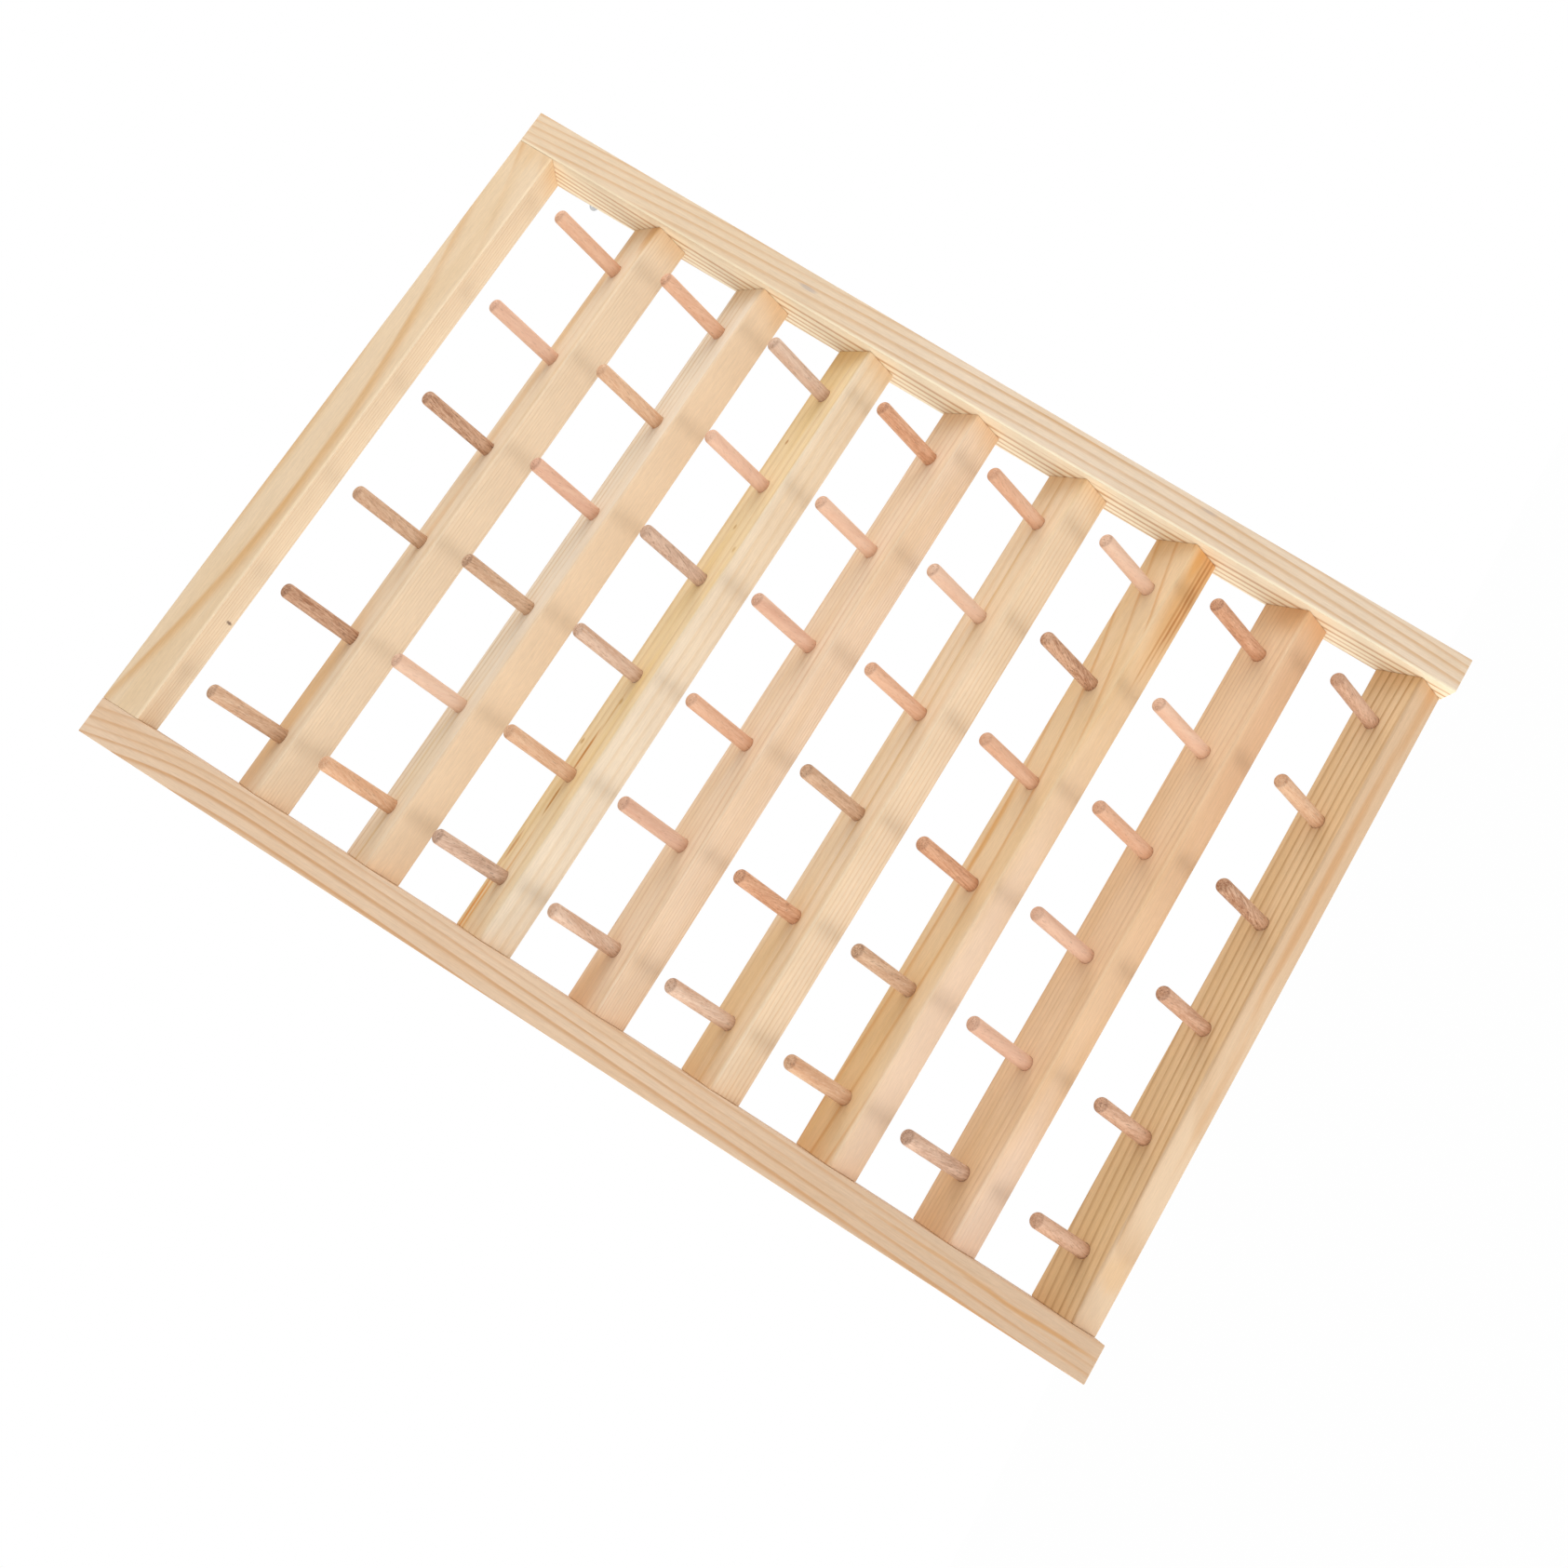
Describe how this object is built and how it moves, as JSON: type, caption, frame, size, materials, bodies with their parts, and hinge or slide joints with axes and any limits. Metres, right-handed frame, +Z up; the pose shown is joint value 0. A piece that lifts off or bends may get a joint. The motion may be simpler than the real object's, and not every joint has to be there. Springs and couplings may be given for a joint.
{
  "type": "thread rack",
  "caption": "Flat wall rack for thread spools: two upright rails joined by a ladder of rolled wooden slats, each with a row of pegs leaning up and forward, hung by two screw eyes.",
  "frame": {"origin": "midway between the centres of the two screw eyes' rings that the rack hangs by", "axes": "+Z up as the rack hangs, X across it with the left rail at -X, -Y out of the front where the pegs point, +Y towards the wall"},
  "size_m": [0.305, 0.0471, 0.43],
  "materials": {
    "rail_pine": "sanded, unvarnished",
    "top_pine": "sanded, unvarnished",
    "light_pine": "sanded, unvarnished",
    "pink_pine": "sanded, unvarnished",
    "yellow_pine": "sanded, unvarnished",
    "orange_pine": "sanded, unvarnished",
    "tan_peg": "sanded, unvarnished",
    "pink_peg": "sanded, unvarnished",
    "orange_peg": "sanded, unvarnished",
    "brown_peg": "sanded, unvarnished",
    "light_peg": "sanded, unvarnished",
    "grey_peg": "sanded, unvarnished",
    "steel": "bright zinc plate"
  },
  "bodies": {
    "root": {"left_rail": "rail_pine", "right_rail": "rail_pine", "top_slat": "top_pine", "slat_1": "light_pine", "slat_2": "pink_pine", "slat_3": "yellow_pine", "slat_4": "pink_pine", "slat_5": "yellow_pine", "slat_6": "orange_pine", "slat_7": "pink_pine", "slat_8": "yellow_pine", "peg_1_1": "tan_peg", "peg_1_2": "brown_peg", "peg_1_3": "tan_peg", "peg_1_4": "brown_peg", "peg_1_5": "pink_peg", "peg_1_6": "orange_peg", "peg_2_1": "tan_peg", "peg_2_2": "orange_peg", "peg_2_3": "grey_peg", "peg_2_4": "pink_peg", "peg_2_5": "tan_peg", "peg_2_6": "orange_peg", "peg_3_1": "brown_peg", "peg_3_2": "orange_peg", "peg_3_3": "tan_peg", "peg_3_4": "grey_peg", "peg_3_5": "pink_peg", "peg_3_6": "brown_peg", "peg_4_1": "tan_peg", "peg_4_2": "orange_peg", "peg_4_3": "orange_peg", "peg_4_4": "pink_peg", "peg_4_5": "light_peg", "peg_4_6": "brown_peg", "peg_5_1": "light_peg", "peg_5_2": "orange_peg", "peg_5_3": "grey_peg", "peg_5_4": "orange_peg", "peg_5_5": "orange_peg", "peg_5_6": "brown_peg", "peg_6_1": "pink_peg", "peg_6_2": "tan_peg", "peg_6_3": "brown_peg", "peg_6_4": "orange_peg", "peg_6_5": "grey_peg", "peg_6_6": "orange_peg", "peg_7_1": "grey_peg", "peg_7_2": "pink_peg", "peg_7_3": "pink_peg", "peg_7_4": "orange_peg", "peg_7_5": "light_peg", "peg_7_6": "brown_peg", "peg_8_1": "pink_peg", "peg_8_2": "tan_peg", "peg_8_3": "brown_peg", "peg_8_4": "grey_peg", "peg_8_5": "orange_peg", "peg_8_6": "grey_peg", "steel_fasteners": "steel"}
  },
  "joints": []
}
